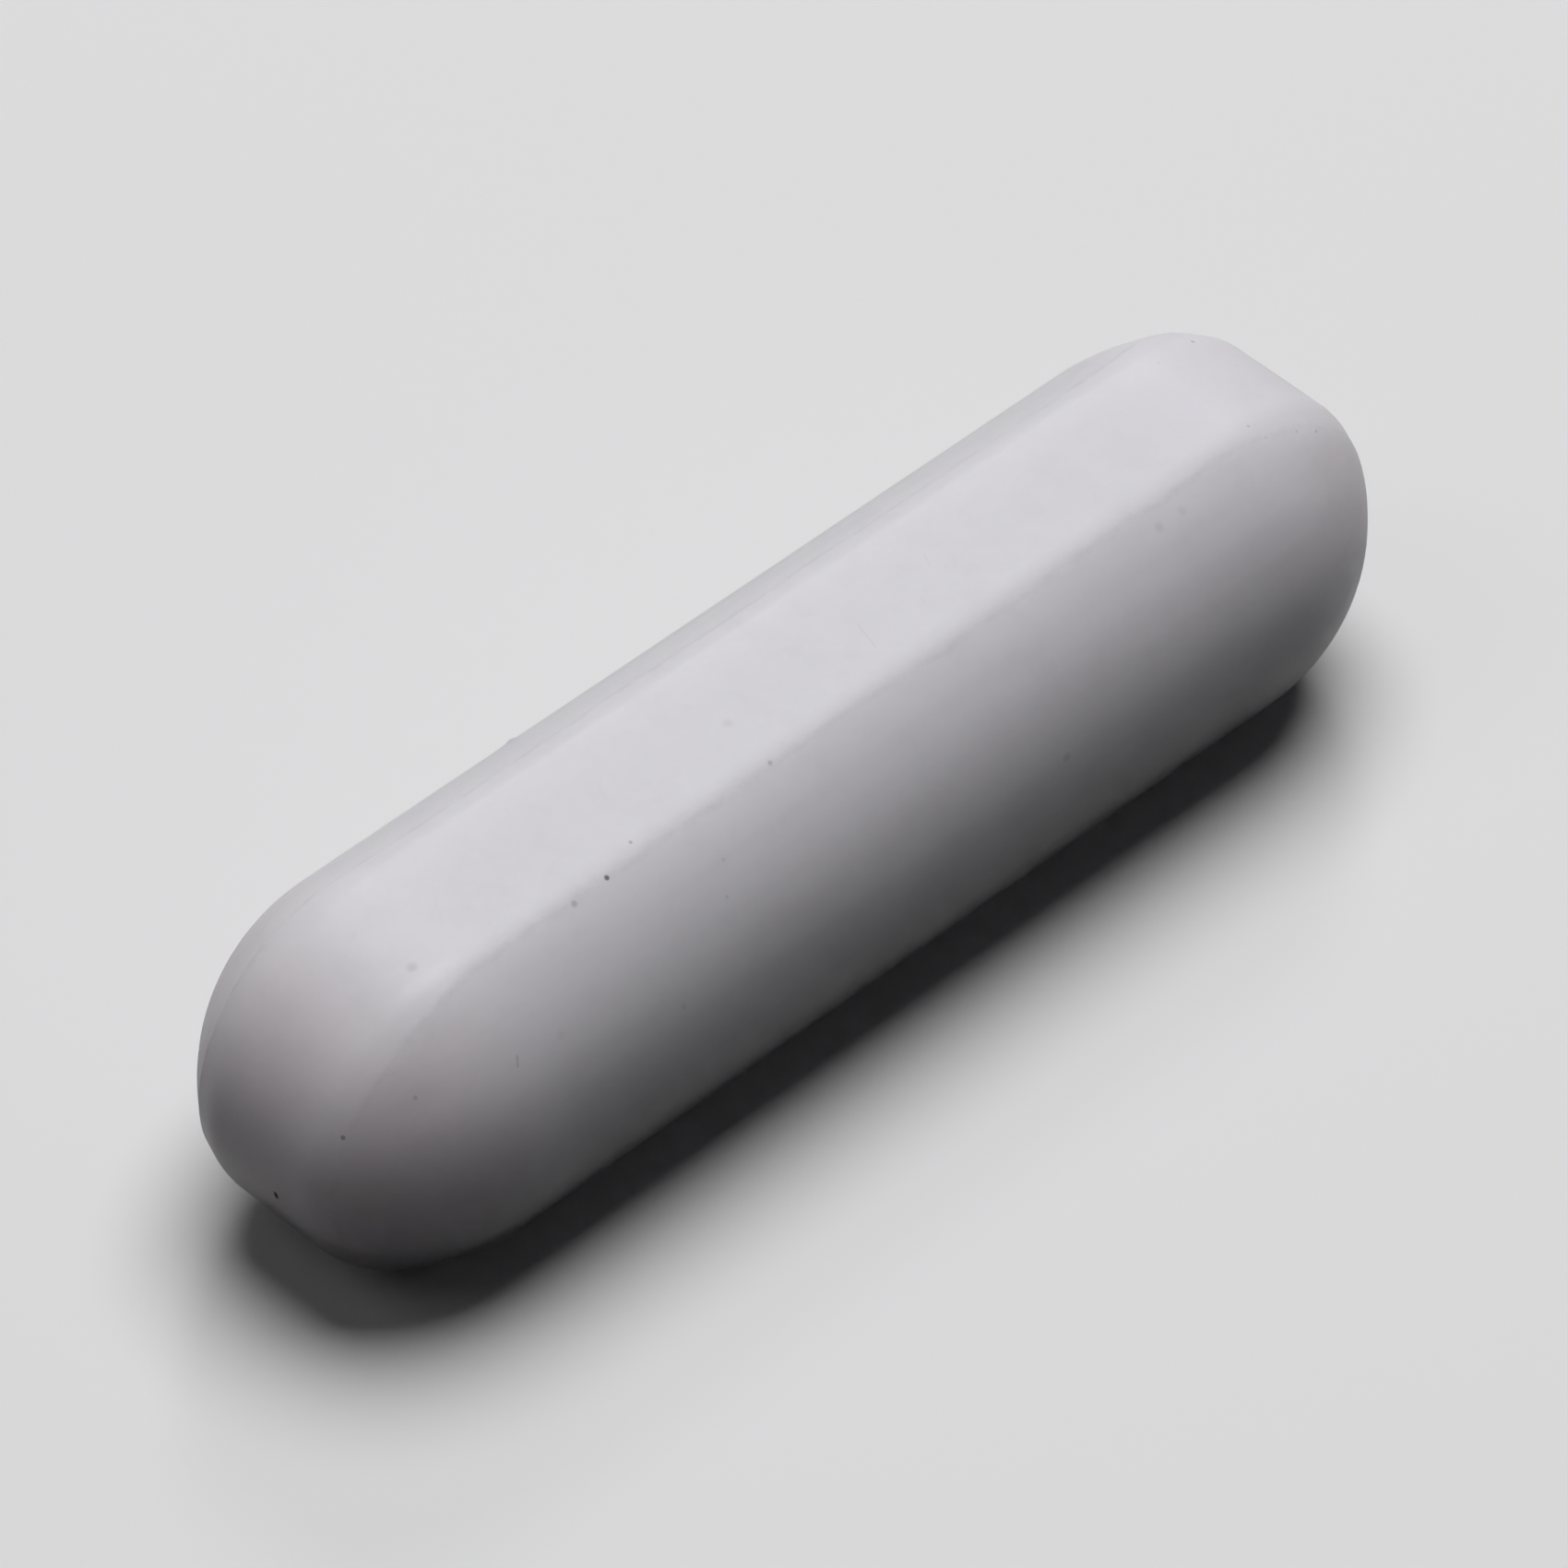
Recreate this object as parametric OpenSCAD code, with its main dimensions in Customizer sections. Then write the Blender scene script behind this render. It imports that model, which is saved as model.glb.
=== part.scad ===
// Magnetic stir bar: a rod magnet sealed inside a moulded PTFE jacket.
// The jacket is a round bar with a flat strip that runs over the top, round both
// ends and back along the bottom, so the bar rests without rolling. The strip was
// shaped by the mould's middle plate and each round side by a ball-ended groove,
// and a fine ledge shows where they met.
// The bar lies along X on its lower flat, centred on the Z axis.

/* [Bar] */
// Overall length, tip to tip
bar_len = 30; // [20:0.5:60]
// Width across the two round sides
bar_w = 8; // [6.6:0.1:10]
// Height across the top and bottom flats
bar_h = 7.9; // [6.5:0.1:9.5]
// Width of the flat strip
flat_w = 2.6; // [1.5:0.1:3.3]
// Radius that rolls the flat strip over into the round sides
edge_r = 0.95; // [0.4:0.05:1.2]

/* [Mould seam] */
// Height of the ledge along the seam between the strip and each round side
seam_step = 0.02; // [0.01:0.01:0.06]
// Extra depth of the ledge where the seam goes round a tip
tip_step = 0.05; // [0.01:0.01:0.1]

/* [Magnet] */
// Diameter of the magnet rod
magnet_d = 5; // [3:0.1:5.5]
// Jacket between each end of the magnet and the tip of the bar
end_wall = 4; // [2.5:0.5:8]
// Chamfer round the magnet's ends
magnet_chamfer = 0.4; // [0.1:0.1:1]

/* [Fit] */
// Gap between the magnet and the pocket that the jacket leaves for it
magnet_gap = 0.05; // [0.02:0.01:0.1]

/* [Hidden] */
$fn = 144;

half_w = bar_w / 2;
half_h = bar_h / 2;
half_flat = flat_w / 2;

// The side arc has its centre at height 0, side_y to the side of the middle. It goes
// through the bar's widest point, and the edge round is tangent to the same arc
// carried out by seam_step.
round_z = half_h - edge_r;
reach = half_w + seam_step - edge_r;
side_y = (pow(reach, 2) - pow(half_flat, 2) - pow(round_z, 2)) / (2 * (reach - half_flat));
side_r = half_w - side_y;

// The seam lies where the edge round meets that arc.
seam_angle = asin((half_flat - side_y) / (side_r + seam_step - edge_r));
seam_y = half_flat + edge_r * sin(seam_angle);
seam_z = round_z + edge_r * cos(seam_angle);

// The strip goes round each tip as half a disc, and each side as a part of a ball.
strip_turn_x = bar_len / 2 - half_h;
side_turn_x = strip_turn_x - tip_step;

magnet_len = bar_len - 2 * end_wall;

// One quarter of the strip's outline: X is the height, Y the distance to the side.
module strip_quarter() {
    square([seam_z, seam_y]);
    square([half_h, half_flat]);
    intersection() {
        translate([round_z, half_flat]) circle(r = edge_r);
        translate([seam_z - edge_r / 2, half_flat]) square([edge_r, seam_y - half_flat]);
    }
}

module strip_half() {
    strip_quarter();
    mirror([0, 1]) strip_quarter();
}

module strip_section() {
    strip_half();
    mirror([1, 0]) strip_half();
}

// The middle plate's share of the jacket: straight between the turns, half a disc at each.
module strip() {
    rotate([0, 90, 0])
        linear_extrude(height = 2 * strip_turn_x, center = true) strip_section();
    for (end = [0, 180])
        rotate([0, 0, end]) translate([strip_turn_x, 0, 0]) rotate([90, 0, 0])
            rotate_extrude(angle = 180, start = -90) strip_half();
}

// A round-ended bar along X, turned from half its outline.
module round_ended_bar(r, turn_x) {
    rotate([0, 90, 0])
        rotate_extrude() {
            translate([0, -turn_x]) square([r, 2 * turn_x]);
            for (end = [0, 1])
                mirror([0, end]) translate([0, turn_x])
                    intersection() {
                        circle(r = r);
                        square(r);
                    }
        }
}

// The part of a round-ended bar that bulges out past the seam on the +Y side.
module side_bulge() {
    intersection() {
        translate([0, side_y, 0]) round_ended_bar(side_r, side_turn_x);
        translate([-bar_len / 2, seam_y, -half_h]) cube([bar_len, half_w, bar_h]);
    }
}

// The magnet's form, grown all round for the pocket it sits in.
module rod(grow) {
    r = magnet_d / 2 + grow;
    half_len = magnet_len / 2 + grow;
    rotate([0, 90, 0])
        rotate_extrude()
            polygon([
                [0, -half_len], [r - magnet_chamfer, -half_len], [r, magnet_chamfer - half_len],
                [r, half_len - magnet_chamfer], [r - magnet_chamfer, half_len], [0, half_len]
            ]);
}

module jacket() {
    color("whitesmoke")
        translate([0, 0, half_h])
            difference() {
                union() {
                    strip();
                    side_bulge();
                    mirror([0, 1, 0]) side_bulge();
                }
                rod(magnet_gap);
            }
}

module magnet() {
    color("dimgray")
        translate([0, 0, half_h]) rod(0);
}

jacket();
magnet();
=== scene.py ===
# Magnetic stir bar: a white moulded jacket round a rod magnet, lying on its lower flat.
# Lengths in the dictionaries are millimetres, and angles are degrees.
import math

import bpy
import numpy as np
from mathutils import Matrix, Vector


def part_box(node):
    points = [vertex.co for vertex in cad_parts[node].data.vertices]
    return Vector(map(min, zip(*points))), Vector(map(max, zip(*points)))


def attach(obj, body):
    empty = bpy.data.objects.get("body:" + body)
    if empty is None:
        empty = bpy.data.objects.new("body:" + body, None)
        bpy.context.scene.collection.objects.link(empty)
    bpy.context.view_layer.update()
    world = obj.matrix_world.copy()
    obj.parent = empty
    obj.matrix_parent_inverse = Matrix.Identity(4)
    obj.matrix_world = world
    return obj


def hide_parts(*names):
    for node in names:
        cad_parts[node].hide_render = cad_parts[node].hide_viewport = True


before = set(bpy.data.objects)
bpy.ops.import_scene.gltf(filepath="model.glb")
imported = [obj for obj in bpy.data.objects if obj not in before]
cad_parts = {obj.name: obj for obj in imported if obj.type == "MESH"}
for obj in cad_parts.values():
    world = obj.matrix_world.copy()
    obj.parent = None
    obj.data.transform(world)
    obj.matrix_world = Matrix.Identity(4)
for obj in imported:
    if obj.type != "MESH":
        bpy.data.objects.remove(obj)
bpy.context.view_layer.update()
mm = 0.001
jacketLow, jacketHigh = (np.array(corner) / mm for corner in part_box("jacket"))
magnetLow, magnetHigh = (np.array(corner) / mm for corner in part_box("magnet"))
barLength, barWidth, barHeight = jacketHigh - jacketLow
axisHeight = jacketLow[2] + barHeight / 2
print("stir bar: frame loaded")


# Shader maths. A Wire is a node's output, and each operator on it adds one Math node.
class Wire:
    def __init__(self, graph, socket):
        self.graph = graph
        self.socket = socket

    def __add__(self, other):
        return self.graph.maths("ADD", self, other)

    def __radd__(self, other):
        return self.graph.maths("ADD", other, self)

    def __sub__(self, other):
        return self.graph.maths("SUBTRACT", self, other)

    def __rsub__(self, other):
        return self.graph.maths("SUBTRACT", other, self)

    def __mul__(self, other):
        return self.graph.maths("MULTIPLY", self, other)

    def __rmul__(self, other):
        return self.graph.maths("MULTIPLY", other, self)

    def __abs__(self):
        return self.graph.maths("ABSOLUTE", self)


class Graph:
    def __init__(self, owner):
        owner.use_nodes = True
        self.tree = owner.node_tree
        self.tree.nodes.clear()

    def add(self, kind, settings=None, sockets=None, output=0):
        node = self.tree.nodes.new(kind)
        for name, value in (settings or {}).items():
            setattr(node, name, value)
        for key, value in (sockets or {}).items():
            if isinstance(value, Wire):
                self.tree.links.new(value.socket, node.inputs[key])
            else:
                node.inputs[key].default_value = value
        return Wire(self, node.outputs[output]) if len(node.outputs) else node

    def maths(self, operation, *values):
        return self.add("ShaderNodeMath", {"operation": operation}, dict(enumerate(values)))

    def larger(self, first, second):
        return self.maths("MAXIMUM", first, second)

    def smaller(self, first, second):
        return self.maths("MINIMUM", first, second)

    # Goes smoothly from 0 at start to 1 at end, and the other way where start is the larger.
    def fade(self, value, start, end):
        sockets = {"Value": value, "From Min": start, "From Max": end}
        return self.add("ShaderNodeMapRange", {"interpolation_type": "SMOOTHSTEP"}, sockets)

    def blend(self, amount, first, second, mode="MIX"):
        settings = {"data_type": "RGBA", "blend_type": mode}
        return self.add("ShaderNodeMix", settings, {0: amount, 6: first, 7: second}, output=2)

    def noise(self, place, scale, detail=2.0, roughness=0.5):
        sockets = {"Vector": place, "Scale": scale, "Detail": detail, "Roughness": roughness}
        return self.add("ShaderNodeTexNoise", {"normalize": True}, sockets)

    def bump(self, height, distance, strength=1.0):
        sockets = {"Height": height, "Distance": distance * mm, "Strength": strength}
        return self.add("ShaderNodeBump", None, sockets)

    # 1 for what the camera sees, itself or mirrored or through something, and 0 for light.
    def seenRay(self):
        rays = [self.add("ShaderNodeLightPath", None, None, output) for output in (0, 3, 6)]
        return self.larger(self.larger(rays[0], rays[1]), rays[2])

    # Object coordinates in millimetres, with the origin on the bar's axis.
    def place(self):
        where = self.add("ShaderNodeTexCoord", None, None, output=3)
        sockets = {"Vector": where, "Location": (0, 0, -axisHeight), "Scale": (1 / mm,) * 3}
        return self.add("ShaderNodeMapping", {"vector_type": "POINT"}, sockets)

    def stretch(self, place, along, across, up):
        sockets = {"Vector": place, "Scale": (along, across, up)}
        return self.add("ShaderNodeMapping", {"vector_type": "POINT"}, sockets)

    def part(self, place, axis):
        return self.add("ShaderNodeSeparateXYZ", None, {0: place}, output="XYZ".index(axis))

    def vector(self, operation, *values, output=0):
        sockets = dict(enumerate(values))
        return self.add("ShaderNodeVectorMath", {"operation": operation}, sockets, output)

    def distance(self, place, point):
        return self.vector("DISTANCE", place, tuple(point), output=1)

    # Distance to the straight line between two points: the place is carried back to the
    # first point, and then back again by its share of the way to the second.
    def lineDistance(self, place, start, end):
        way = np.array(end) - np.array(start)
        fromStart = self.vector("SUBTRACT", place, tuple(start))
        dot = self.vector("DOT_PRODUCT", fromStart, tuple(way / (way @ way)), output=1)
        share = self.smaller(self.larger(dot, 0.0), 1.0)
        sockets = {0: tuple(way), "Scale": share}
        nearest = self.add("ShaderNodeVectorMath", {"operation": "SCALE"}, sockets)
        return self.vector("DISTANCE", fromStart, nearest, output=1)


def colour(red, green, blue):
    return (red, green, blue, 1.0)


# What looks at the bar from a heading and a height has these axes: to its right, up, and
# away from the bar. The heading goes from the +X tip towards +Y.
def lookingAxes(heading, height):
    heading, height = math.radians(heading), math.radians(height)
    level = np.array([math.cos(heading), math.sin(heading), 0.0])
    right = np.array([-math.sin(heading), math.cos(heading), 0.0])
    away = math.cos(height) * level + math.sin(height) * np.array([0.0, 0.0, 1.0])
    return right, np.cross(away, right), away


# Puts a camera or a lamp at a place in millimetres, turned to the three axes.
def placeObject(name, data, axes, place):
    made = bpy.data.objects.new(name, data)
    matrix = np.eye(4)
    matrix[:3, :] = np.stack([*axes, place * mm], axis=1)
    made.matrix_world = Matrix(matrix.tolist())
    bpy.context.scene.collection.objects.link(made)
    return made


# The camera looks down on the bar from beyond its -X end, with a long lens.
camera = {
    "heading": -136.57,
    "height": 44.56,
    "roll": 2.24,
    "distance": 250.4,  # from the middle of the bar
    "lens": 283.3,
    "sensor": 36.0,
    "right": -0.254,  # how far the frame's middle lies from the bar's
    "up": 0.142,
    "clip": (0.01, 10.0),  # in metres
}


def makeCamera():
    level, upright, back = lookingAxes(camera["heading"], camera["height"])
    roll = math.radians(camera["roll"])
    right = math.cos(roll) * level + math.sin(roll) * upright
    up = math.cos(roll) * upright - math.sin(roll) * level
    middle = np.array([0.0, 0.0, axisHeight])
    eye = middle + camera["distance"] * back + camera["right"] * right + camera["up"] * up
    data = bpy.data.cameras.new("camera")
    data.lens = camera["lens"]
    data.sensor_width = camera["sensor"]
    data.clip_start, data.clip_end = camera["clip"]
    bpy.context.scene.camera = placeObject("camera", data, (right, up, back), eye)


makeCamera()
print("stir bar: camera placed")


# The jacket's outside. The strip runs over the top, round both tips and back along the
# bottom, and the two round sides bulge out past it. Each value that the jacket's solid
# also has is the same here.
jacket = {
    "flatWidth": 2.6,
    "edgeRadius": 0.95,  # rolls the strip over into the sides
    "seamStep": 0.02,  # height of the ledge along the seam
    "lipWidth": 0.15,  # the ledge's slope, from its crest to its foot
    "tipLedge": 1.2,  # its height round the -X tip, as a multiple of seamStep
    "tipFlatWidth": 2.3,  # round the tips the strip rolls over sooner and more gently,
    "tipSeamWidth": 3.86,  # to a crease, with no ledge at the +X tip
    "tipRoll": 0.55,  # share of the roll that is curved there, before it runs straight
    "tipStart": 10.3,  # the section starts to change this far along the top from its middle
    "tipFull": 12.8,
    "sideSetBack": 0.28,  # past the seam the sides' turns start this much further from the tips
    "sideStretch": 1.07,  # and are drawn out lengthwise by this
    "sideBlend": 0.8,  # over this distance from the seam
    "seamWaves": [(23, 0.02, 0.0), (59, 0.012, 1.0), (141, 0.008, 2.5)],  # count, size, phase
    "straightColumns": 280,
    "turnColumns": 120,
    "flatRows": 5,
    "edgeRows": 12,
    "lipRows": 4,
    "sideRows": 30,
}

# Burrs left by the moulding: the place from the bar's middle, the height and the radius.
burrs = [((-5.25, 2.95, 2.85), 0.06, 0.13), ((0.30, -3.40, -2.20), 0.05, 0.12)]


# Goes smoothly from 0 to 1 while the value goes from start to end.
def smoothStep(value, start, end):
    share = np.clip((value - start) / (end - start), 0, 1)
    return share**2 * (3 - 2 * share)


# How far the section has changed into the tips' own, from the distance along the surface
# to the middle of the top or of the bottom.
def tipShare(run, angle):
    pastStraight = barHeight / 2 * np.abs(np.arcsin(np.sin(angle)))
    along = np.abs(run) * (barLength - barHeight) / 2 + pastStraight
    return smoothStep(along, jacket["tipStart"], jacket["tipFull"])


# Once round the bar lengthwise: along the top, round the +X tip, back along the bottom
# and round the -X tip. run goes from -1 to 1 along a straight, and angle is the turn
# from straight up, in radians.
def pathColumns():
    straight = np.linspace(-1, 1, jacket["straightColumns"], endpoint=False)
    turn = np.linspace(0, math.pi, jacket["turnColumns"], endpoint=False)
    run = np.concatenate([straight, np.ones_like(turn), -straight, -np.ones_like(turn)])
    angle = np.concatenate([0 * straight, turn, 0 * straight + math.pi, turn + math.pi])
    return run, angle, tipShare(run, angle)


# The seam is not quite straight: its distance to the side changes in waves, each with a
# whole number of them round the bar.
def seamWander(run, angle):
    straight = barLength - barHeight
    runLength = np.diff(run, append=run[0]) * straight / 2
    turnLength = np.diff(angle, append=2 * math.pi) * barHeight / 2
    wholeLength = 2 * straight + math.pi * barHeight
    share = 2 * math.pi * np.cumsum(np.hypot(runLength, turnLength)) / wholeLength
    return sum(size * np.sin(count * share + phase) for count, size, phase in jacket["seamWaves"])


# Even steps from 0 to 1 down the rows, without the 1 itself unless it is asked for.
def rowShares(count, endpoint=False):
    return np.linspace(0, 1, count, endpoint=endpoint)[:, None]


# Half the section for every column, from the middle of the strip to the widest line, as
# distance to the side and height above the axis. The strip is flat, then rolls over on an
# arc, of edgeRadius on the straights, and at the tips on an arc with a straight after it,
# in line with its end. The roll ends at the crest of the ledge, which wander moves. The
# ledge runs out over lipWidth in half a cosine wave on top of the side arc, which ends
# level at the widest line. One row a step, one column a place.
def halfSection(run, tip, wander=0.0):
    halfWidth, halfHeight, halfFlat = barWidth / 2, barHeight / 2, jacket["flatWidth"] / 2
    edge, step, lip = jacket["edgeRadius"], jacket["seamStep"], jacket["lipWidth"]
    reach = halfWidth + step - edge
    sideCentre = (reach**2 - halfFlat**2 - (halfHeight - edge) ** 2) / (2 * (reach - halfFlat))
    sideRadius = halfWidth - sideCentre
    seam = halfFlat + edge * (halfFlat - sideCentre) / (sideRadius + step - edge)

    flatEnd = halfFlat + (jacket["tipFlatWidth"] / 2 - halfFlat) * tip
    crest = seam + (jacket["tipSeamWidth"] / 2 - seam) * tip + wander
    ledge = step * (1 - tip * np.where(run < 0, 1 - jacket["tipLedge"], 1))
    drop = halfHeight - np.sqrt((sideRadius + ledge) ** 2 - (crest - sideCentre) ** 2)
    rollWidth = (crest - flatEnd) * (1 + (jacket["tipRoll"] - 1) * tip)
    halfTurn = 0.0  # tangent of half the angle that the arc turns through
    for _ in range(12):  # it settles long before the last round
        halfTurn = drop / (rollWidth + 2 * (crest - flatEnd - rollWidth) / (1 - halfTurn**2))
    rollRadius = rollWidth * (1 + halfTurn**2) / (2 * halfTurn)
    fall = 2 * halfTurn / (1 - halfTurn**2)
    footAngle = np.arcsin((crest + lip - sideCentre) / sideRadius)

    flatOut = flatEnd * rowShares(jacket["flatRows"])
    rollOut = (crest - flatEnd) * rowShares(jacket["edgeRows"])
    onArc = np.minimum(rollOut, rollWidth)
    arcDrop = rollRadius - np.sqrt(rollRadius**2 - onArc**2)
    lipShare = rowShares(jacket["lipRows"])
    lipOut = crest + lip * lipShare
    lipRadius = sideRadius + ledge * (1 + np.cos(math.pi * lipShare)) / 2
    sideAngle = footAngle + (math.pi / 2 - footAngle) * rowShares(jacket["sideRows"], True)
    sideOut = sideCentre + sideRadius * np.sin(sideAngle)

    out = np.concatenate([flatOut, flatEnd + rollOut, lipOut, sideOut])
    height = np.concatenate([
        halfHeight + 0 * flatOut,
        halfHeight - arcDrop - fall * (rollOut - onArc),
        np.sqrt(lipRadius**2 - (lipOut - sideCentre) ** 2),
        sideRadius * np.cos(sideAngle),
    ])
    height[-1] = 0.0
    return out, height, smoothStep(out - crest, 0, jacket["sideBlend"])


# Carries the section along the path, and gives the place along the bar and the height
# above the axis. A strip row turns the tip on a circle as large as its height, and a side
# row starts its turn sooner and draws it out.
def carry(run, angle, height, onSide):
    turn = (barLength - barHeight) / 2 - jacket["sideSetBack"] * onSide
    stretch = 1 + (jacket["sideStretch"] - 1) * onSide
    return run * turn + stretch * height * np.sin(angle), height * np.cos(angle)


# Both halves of the section, carried along the path. Each burr is a small bell-shaped rise,
# straight away from the bar's axis.
def jacketSurface():
    run, angle, tip = pathColumns()
    out, height, onSide = halfSection(run, tip, seamWander(run, angle))
    x, up = carry(run, angle, height, onSide)
    rightHalf, leftHalf = np.stack([x, -out, up], axis=-1), np.stack([x, out, up], axis=-1)
    grid = np.concatenate([rightHalf[:0:-1], leftHalf])
    for middle, peak, radius in burrs:
        rise = peak * np.exp(-np.sum((grid - middle) ** 2, axis=-1) / radius**2)
        outwards = np.array([0.0, middle[1], middle[2]]) / math.hypot(middle[1], middle[2])
        grid = grid + rise[..., None] * outwards
    return grid + np.array([0.0, 0.0, axisHeight])


weldDistance = 0.00001  # points nearer than this are one point


# Joins a grid that closes round its columns into quads. Points that coincide become one
# point, so the quads along the widest lines become triangles where a turn shrinks to a point.
def gridMesh(grid):
    rowCount, columnCount = grid.shape[:2]
    row, column = np.meshgrid(np.arange(rowCount - 1), np.arange(columnCount), indexing="ij")
    after = (column + 1) % columnCount
    corners = [row * columnCount + column, row * columnCount + after,
               (row + 1) * columnCount + after, (row + 1) * columnCount + column]
    quads = np.stack(corners, axis=-1).reshape(-1, 4)
    points = grid.reshape(-1, 3)
    keys = np.round(points / weldDistance).astype(np.int64)
    first, same = np.unique(keys, axis=0, return_index=True, return_inverse=True)[1:]
    quads = same.reshape(-1)[quads]
    lowShut = quads[:, 0] == quads[:, 1]
    highShut = quads[:, 2] == quads[:, 3]
    lowOnly, highOnly = lowShut & ~highShut, highShut & ~lowShut
    triangles = np.concatenate([quads[lowOnly][:, 1:], quads[highOnly][:, :3]])
    return points[first], quads[~lowShut & ~highShut], triangles


def meshObject(name, parts):
    points, faces, start = [], [], 0
    for partPoints, quads, triangles in parts:
        points.append(partPoints)
        faces += (quads + start).tolist() + (triangles + start).tolist()
        start += len(partPoints)
    mesh = bpy.data.meshes.new(name)
    mesh.from_pydata((np.concatenate(points) * mm).tolist(), [], faces)
    mesh.validate()
    mesh.shade_smooth()
    made = bpy.data.objects.new(name, mesh)
    bpy.context.scene.collection.objects.link(made)
    return made


# The pocket for the magnet is a rod with chamfered ends, turned about the bar's axis. Its
# outline is a few places along the axis with the radius at each, and its faces look inwards.
pocket = {
    "gap": 0.05,  # left round the magnet on all sides
    "chamfer": 0.4,
    "columns": 96,
    "rowsPerEdge": 6,
}


def pocketSurface():
    halfLength = (magnetHigh[0] - magnetLow[0]) / 2 + pocket["gap"]
    radius = (magnetHigh[1] - magnetLow[1]) / 2 + pocket["gap"]
    chamfer = pocket["chamfer"]
    corners = np.array([
        [-halfLength, 0.0], [-halfLength, radius - chamfer], [chamfer - halfLength, radius],
        [halfLength - chamfer, radius], [halfLength, radius - chamfer], [halfLength, 0.0],
    ])
    share = np.linspace(0, len(corners) - 1, (len(corners) - 1) * pocket["rowsPerEdge"] + 1)
    along = np.interp(share, np.arange(len(corners)), corners[:, 0])[:, None]
    out = np.interp(share, np.arange(len(corners)), corners[:, 1])[:, None]
    angle = np.linspace(0, 2 * math.pi, pocket["columns"], endpoint=False)
    up = axisHeight - out * np.sin(angle)
    return np.stack([along + 0 * angle, out * np.cos(angle), up], axis=-1)


skin = meshObject("jacketSkin", [gridMesh(jacketSurface()), gridMesh(pocketSurface())])
print("stir bar: jacket skin has", len(skin.data.polygons), "faces")


# White fluoropolymer: a cool white with a satin skin, lit through by the light that
# scatters below it, and a little warmer round the tips.
plastic = {
    "base": colour(0.808, 0.782, 0.834),
    "tip": colour(0.825, 0.777, 0.818),
    # the dark colour for the dirt and for the painted shade in the seams
    "dirtAndSeamShade": colour(0.03, 0.022, 0.02),
    "roughness": 0.36,
    "ior": 1.36,
    "subsurface": 1.0,
    "subsurfaceScale": 3.0,  # how far the light wanders, in millimetres
    "subsurfaceTint": (1.0, 0.95, 0.9),  # and the share of that for red, green and blue
    "mottle": 0.03,  # share by which cloudy patches darken
    "bands": 0.025,  # share by which bands along the sides darken
    "grain": 0.03,  # share by which the fine grain changes the lightness either way
    "seamGrainAndPaintedLight": 0.11,  # and the coarser one along the seams, partly painted highlights and shade of the ragged seam
    "seamRoughness": 0.02,  # height of the bumps along the seams, in millimetres
    "waviness": 0.05,  # and of the slow waves everywhere
    "seamPlace": 1.80,  # how far the seams lie from the bar's middle plane
    "seamSpread": 0.13,  # how much further at the tips
    "seamWander": 0.25,  # how far they wander from side to side
    "paintedSeamShade": 0.05,  # most that the painted shade in the seams darkens
    "paintedBackSeamShade": 0.05,  # and how much more on the +Y side
    "fineSpecks": 0.35,  # how dark the scattered fine specks are
    "warmFrom": 12.7,  # the warmer tint sets in this far along the strip
    "warmTo": 14.4,
    "warmMiddle": 0.6,  # from this place, so that it sets in sooner at the -X tip
    "warmSides": 1.7,  # and this much sooner on the sides
    "roughPatches": 0.12,  # how much the roughness changes from place to place
    "roughDirtAndSeamShade": 0.4,  # and how much the dirt and the painted seam shade add to it
}

# Specks of dirt: how far along the top from its middle (past 11 it goes down round a tip),
# how far to the side, the radius and how dark.
specks = [
    (-7.25, -1.80, 0.065, 0.75), (-8.20, -1.85, 0.08, 0.28), (-6.30, -1.50, 0.045, 0.38),
    (-2.65, -1.75, 0.06, 0.28), (-15.50, -1.85, 0.06, 0.50), (-14.05, -2.55, 0.055, 0.20),
    (-7.15, -3.75, 0.08, 0.08), (-5.25, -3.05, 0.045, 0.15), (-4.90, -2.60, 0.045, 0.14),
    (12.70, 1.20, 0.055, 0.35), (12.95, 0.15, 0.035, 0.12), (11.40, 1.00, 0.035, 0.10),
    (11.40, -1.55, 0.04, 0.18), (11.60, -1.90, 0.035, 0.15), (12.55, -2.00, 0.045, 0.15),
    (13.25, -2.05, 0.045, 0.25), (14.40, -1.90, 0.04, 0.20),
]

# Fainter marks, larger and soft at the edge.
smudges = [
    (-11.80, -1.00, 0.17, 0.16), (8.25, -2.15, 0.16, 0.10), (8.95, -2.15, 0.16, 0.08),
    (3.95, -3.85, 0.15, 0.16), (-2.55, -0.45, 0.17, 0.09), (-10.20, -3.30, 0.16, 0.05),
    (-12.00, 0.45, 0.14, 0.03), (-8.20, -1.85, 0.16, 0.05),
]

# Hair scratches, one short scuff and one long speck: both ends, the width and how dark.
scratches = [
    ((1.35, -0.25), (1.15, -0.95), 0.03, 0.06), ((3.80, 0.30), (3.65, 0.00), 0.03, 0.05),
    ((2.85, -0.55), (2.75, -0.75), 0.03, 0.04), ((-5.65, 0.05), (-5.85, -0.30), 0.03, 0.02),
    ((-10.00, 0.30), (-10.60, -0.60), 0.03, 0.02), ((-11.45, -3.20), (-11.60, -3.30), 0.04, 0.20),
    ((-17.95, -0.45), (-18.05, -0.45), 0.085, 1.0),
]


# The place on the skin that lies so far along the top and so far to the side, in
# millimetres from the middle of the bar's axis.
def skinPoint(along, side):
    straight = (barLength - barHeight) / 2
    run = min(max(along / straight, -1.0), 1.0)
    angle = (along - run * straight) / (barHeight / 2)
    out, height, onSide = halfSection(run, tipShare(np.array([run]), np.array([angle])))
    height = np.interp(abs(side), out[:, 0], height[:, 0])
    x, up = carry(run, angle, height, np.interp(abs(side), out[:, 0], onSide[:, 0]))
    return np.array([x, side, up])


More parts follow.
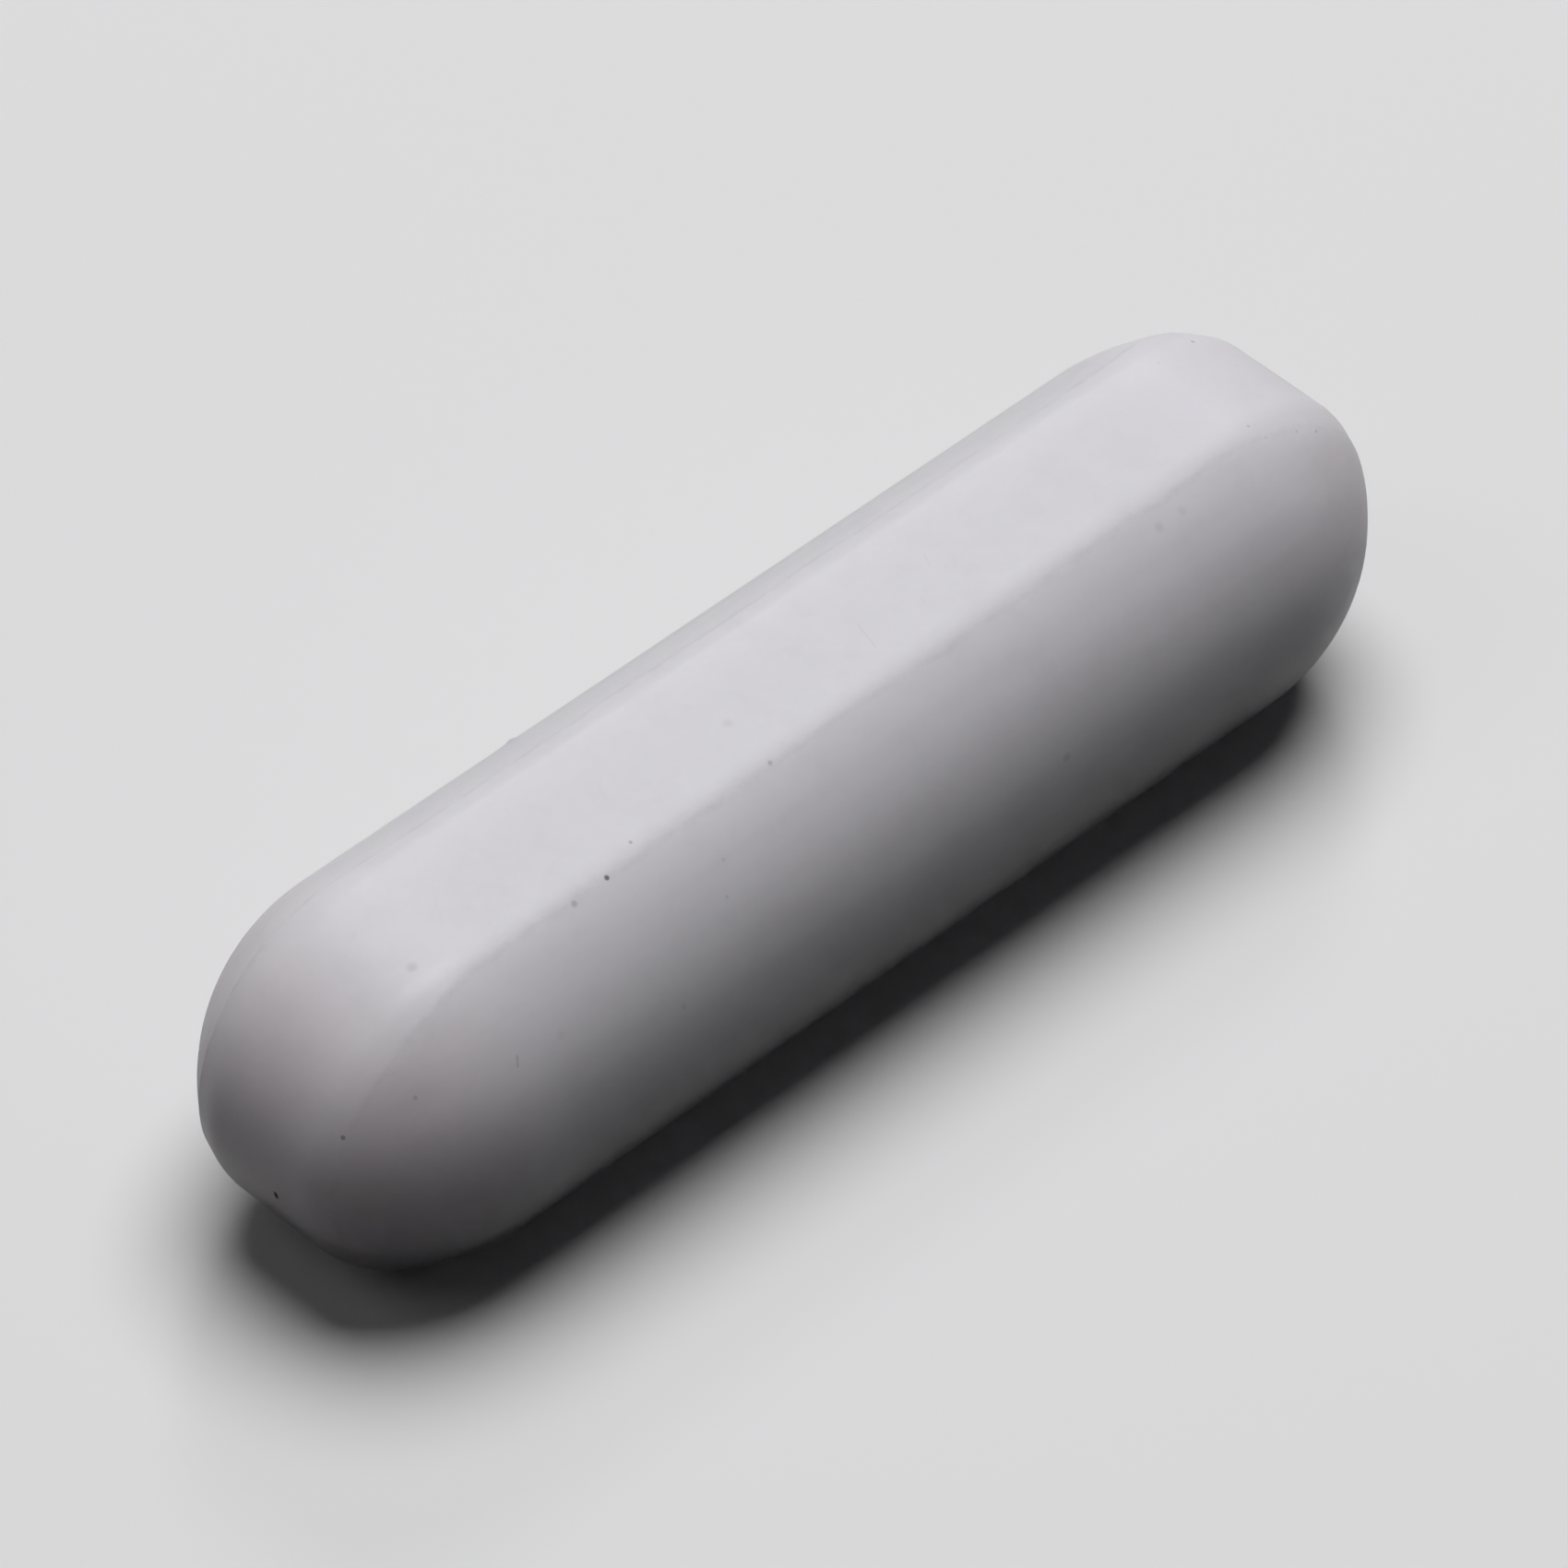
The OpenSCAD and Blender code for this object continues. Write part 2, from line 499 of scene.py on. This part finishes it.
# Distance to the middle of the nearest seam. The seams wander a little and lie further out
# at the tips.
def seamDistance(graph, place, alongBar, toSide):
    noise = graph.noise(graph.stretch(place, 1.0, 0.1, 0.1), 0.7, 5.0, 0.6) - 0.5
    spread = plastic["seamSpread"] * graph.fade(abs(alongBar), 10.3, 12.0)
    seamLine = plastic["seamPlace"] + spread + plastic["seamWander"] * noise
    return abs(abs(toSide) - seamLine)


# Painted shade along the seams: the colour darkens in broken lines where the ledge's own shade
# falls, more of it on the +Y side.
def paintedSeamShade(graph, place, toSide, fromSeam):
    noise = graph.noise(graph.stretch(place, 0.5, 1.0, 1.0), 2.2, 6.0, 0.75)
    share = plastic["paintedSeamShade"] + plastic["paintedBackSeamShade"] * graph.fade(toSide, -0.5, 0.5)
    return share * graph.fade(fromSeam, 0.11, 0.0) * graph.fade(noise, 0.35, 0.65)


# Fine specks, on the +Y side and below: a dot in the middle of the few Voronoi cells with
# a large random value.
def fineSpecks(graph, place, toSide):
    cell = {"Vector": place, "Scale": 2.0, "Randomness": 1.0}
    dotDistance = graph.add("ShaderNodeTexVoronoi", {"feature": "F1"}, cell, output=0)
    cellColour = graph.add("ShaderNodeTexVoronoi", {"feature": "F1"}, cell, output=1)
    cellValue = graph.part(cellColour, "X")
    fine = graph.fade(dotDistance, 0.07, 0.03) * graph.fade(cellValue, 0.85, 1.0)
    outAndDown = 0.8 * toSide - 0.6 * graph.part(place, "Z")
    return plastic["fineSpecks"] * fine * graph.fade(outAndDown, 0.5, 1.5)


# The specks, smudges and scratches one by one, over the dirt and painted seam shade that are
# there already.
def addMarks(graph, place, dirtAndSeamShade):
    for along, side, radius, dark in specks:
        away = graph.distance(place, skinPoint(along, side))
        dirtAndSeamShade = graph.larger(dirtAndSeamShade, dark * graph.fade(away, radius * 1.2, radius * 0.5))
    for along, side, radius, dark in smudges:
        away = graph.distance(place, skinPoint(along, side))
        dirtAndSeamShade = graph.larger(dirtAndSeamShade, dark * graph.fade(away, radius, radius * 0.2))
    for start, end, width, dark in scratches:
        away = graph.lineDistance(place, skinPoint(*start), skinPoint(*end))
        dirtAndSeamShade = graph.larger(dirtAndSeamShade, dark * graph.fade(away, width, width * 0.3))
    return dirtAndSeamShade


def plasticMaterial():
    material = bpy.data.materials.new("waxyWhitePlastic")
    graph = Graph(material)
    place = graph.place()
    alongBar = graph.part(place, "X")
    toSide = graph.part(place, "Y")

    # Patches and bands are shares of noise above its middle value, and the grain goes both
    # ways. It is coarser along the seams, where it also paints the ragged seam's highlights and
    # shade into the colour.
    patches = graph.fade(graph.noise(place, 0.9, 4.0, 0.6), 0.45, 0.75)
    bands = graph.fade(graph.noise(graph.stretch(place, 0.03, 1.0, 1.0), 1.6, 2.0), 0.45, 0.7)
    onSides = graph.fade(abs(toSide), 1.8, 2.6)
    clean = 1.0 - plastic["mottle"] * patches - plastic["bands"] * bands * onSides
    clean = clean + plastic["grain"] * (graph.noise(place, 5.0, 3.0, 0.6) - 0.5)
    fromSeam = seamDistance(graph, place, alongBar, toSide)
    coarse = graph.noise(graph.stretch(place, 0.6, 1.5, 1.5), 4.0, 3.0, 0.6) - 0.5
    seamGrainAndPaintedLight = coarse * graph.fade(fromSeam, 0.2, 0.03)
    # Painted highlights and shade of the ragged seam: the coarse grain there lightens and darkens
    # the colour, and it also bumps the surface.
    clean = clean + plastic["seamGrainAndPaintedLight"] * seamGrainAndPaintedLight

    # Painted shade along the seams first, then the real fine specks and marks over it.
    dirtAndSeamShade = paintedSeamShade(graph, place, toSide, fromSeam)
    dirtAndSeamShade = graph.larger(dirtAndSeamShade, fineSpecks(graph, place, toSide))
    dirtAndSeamShade = addMarks(graph, place, dirtAndSeamShade)

    # The plastic's own colour is its tint times the shade, and the dark colour covers it where
    # there is dirt or painted seam shade.
    fromMiddle = abs(alongBar - plastic["warmMiddle"]) + plastic["warmSides"] * onSides
    warm = graph.fade(fromMiddle, plastic["warmFrom"], plastic["warmTo"])
    tint = graph.blend(warm, plastic["base"], plastic["tip"])
    shade = graph.add("ShaderNodeCombineColor", None, {0: clean, 1: clean, 2: clean})
    base = graph.blend(dirtAndSeamShade, graph.blend(1.0, tint, shade, "MULTIPLY"), plastic["dirtAndSeamShade"])
    rough = plastic["roughness"] + plastic["roughDirtAndSeamShade"] * dirtAndSeamShade
    rough = rough + plastic["roughPatches"] * (graph.noise(place, 1.7, 4.0, 0.6) - 0.5)
    waves = graph.noise(graph.stretch(place, 0.35, 1.0, 1.0), 0.8, 3.0, 0.45)
    height = plastic["waviness"] * waves + plastic["seamRoughness"] * seamGrainAndPaintedLight
    sockets = {
        "Base Color": base,
        "Roughness": rough,
        "IOR": plastic["ior"],
        "Subsurface Weight": plastic["subsurface"],
        "Subsurface Radius": plastic["subsurfaceTint"],
        "Subsurface Scale": plastic["subsurfaceScale"] * mm,
        "Normal": graph.bump(height, 1.0),
    }
    shader = graph.add("ShaderNodeBsdfPrincipled", None, sockets)
    graph.add("ShaderNodeOutputMaterial", None, {"Surface": shader})
    return material


skin.data.materials.append(plasticMaterial())
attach(skin, "root")
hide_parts("jacket")


# The magnet is a ground alloy rod: fine marks run round it, and it is duller in places.
magnet = {
    "base": colour(0.50, 0.49, 0.48),
    "dark": colour(0.33, 0.32, 0.31),
    "roughness": 0.33,
    "stainShade": 0.6,  # how far the stains and the marks go towards the dark colour
    "markShade": 0.3,
    "stainRoughness": 0.15,  # and how much rougher they are
    "markRoughness": 0.1,
    "markDepth": 0.02,
}


def magnetMaterial():
    material = bpy.data.materials.new("groundAlloy")
    graph = Graph(material)
    place = graph.place()
    marks = graph.noise(graph.stretch(place, 9.0, 0.25, 0.25), 2.0, 3.0, 0.6)
    stains = graph.fade(graph.noise(place, 0.6, 4.0, 0.6), 0.4, 0.7)
    shade = magnet["stainShade"] * stains + magnet["markShade"] * marks
    rough = magnet["stainRoughness"] * stains + magnet["markRoughness"] * marks
    sockets = {
        "Base Color": graph.blend(shade, magnet["base"], magnet["dark"]),
        "Metallic": 1.0,
        "Roughness": magnet["roughness"] + rough,
        "Normal": graph.bump(marks, magnet["markDepth"], 0.4),
    }
    shader = graph.add("ShaderNodeBsdfPrincipled", None, sockets)
    graph.add("ShaderNodeOutputMaterial", None, {"Surface": shader})
    return material


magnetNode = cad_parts["magnet"]
magnetNode.data.materials.clear()
magnetNode.data.materials.append(magnetMaterial())
print("stir bar: materials made")


# The table is pale where it is seen, and gives back less light than that to the bar.
table = {
    "size": 4000.0,
    "drop": 0.02,  # below the lower flat, so that the two faces don't coincide
    "seen": colour(0.92, 0.92, 0.93),
    "bounce": colour(0.03, 0.03, 0.03),
}


def makeTable():
    half = table["size"] / 2 * mm
    z = -table["drop"] * mm
    mesh = bpy.data.meshes.new("table")
    corners = [(-half, -half, z), (half, -half, z), (half, half, z), (-half, half, z)]
    mesh.from_pydata(corners, [], [(0, 1, 2, 3)])
    made = bpy.data.objects.new("table", mesh)
    bpy.context.scene.collection.objects.link(made)
    material = bpy.data.materials.new("tableTop")
    graph = Graph(material)
    seen = graph.seenRay()
    dark = graph.add("ShaderNodeBsdfDiffuse", None, {"Color": table["bounce"]})
    pale = graph.add("ShaderNodeBsdfDiffuse", None, {"Color": table["seen"]})
    mixed = graph.add("ShaderNodeMixShader", None, {0: seen, 1: dark, 2: pale})
    graph.add("ShaderNodeOutputMaterial", None, {"Surface": mixed})
    mesh.materials.append(material)


# One large soft light overhead, a small one low behind the far tip that gives the upper
# flat its sheen, a weak one from the near tip, and a faint even sky.
lights = {
    "key": {"heading": 34, "height": 78, "distance": 600, "size": 480, "strength": 0.675},
    "back": {"heading": 43, "height": 43, "distance": 600, "size": 120, "strength": 0.078},
    "fill": {"heading": 160, "height": 52, "distance": 600, "size": 300, "strength": 0.04},
}
sky = {"colour": colour(0.97, 0.97, 1.0), "seen": 0.7, "light": 0.01}


# strength is the light that a white card facing the lamp would show, so the lamp's own
# power grows with its distance.
def makeLight(name, heading, height, distance, size, strength):
    data = bpy.data.lights.new(name, "AREA")
    data.shape = "DISK"
    data.size = size * mm
    across = (size / 2 / distance) ** 2
    data.energy = strength * math.pi * (1 + across) / across * math.pi * (size / 2 * mm) ** 2
    axes = lookingAxes(heading, height)
    placeObject(name, data, axes, distance * axes[2])


def makeSky():
    world = bpy.data.worlds.new("studio")
    bpy.context.scene.world = world
    graph = Graph(world)
    strength = graph.larger(sky["seen"] * graph.seenRay(), sky["light"])
    sockets = {"Color": sky["colour"], "Strength": strength}
    background = graph.add("ShaderNodeBackground", None, sockets)
    graph.add("ShaderNodeOutputWorld", None, {"Surface": background})


makeTable()
for lampName, lamp in lights.items():
    makeLight(lampName, **lamp)
makeSky()
bpy.context.scene.view_settings.view_transform = "Standard"
print("stir bar: table and lights placed")
